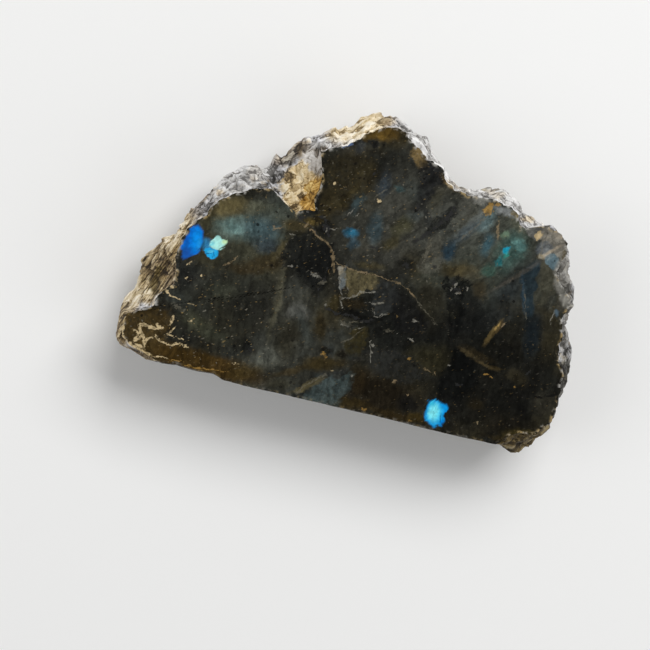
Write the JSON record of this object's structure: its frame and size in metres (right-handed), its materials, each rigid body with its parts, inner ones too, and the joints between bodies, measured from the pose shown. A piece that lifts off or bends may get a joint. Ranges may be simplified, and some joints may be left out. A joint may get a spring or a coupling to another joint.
{
  "type": "polished labradorite",
  "caption": "Broken slab of dark feldspar with one flat polished face, rough natural sides, a straight sawn edge and a flat sawn back to rest on.",
  "frame": {"origin": "on the flat sawn back, under the middle of the polished face", "axes": "+Z out of the polished face, +X along the straight sawn edge, +Y from that edge towards the stone's peak"},
  "size_m": [0.0921, 0.0616, 0.018],
  "materials": {
    "labradorite": "polished on the face, rough and broken on the sides, matt sawn on the back"
  },
  "bodies": {
    "root": {"labradorite": "labradorite"}
  },
  "joints": []
}
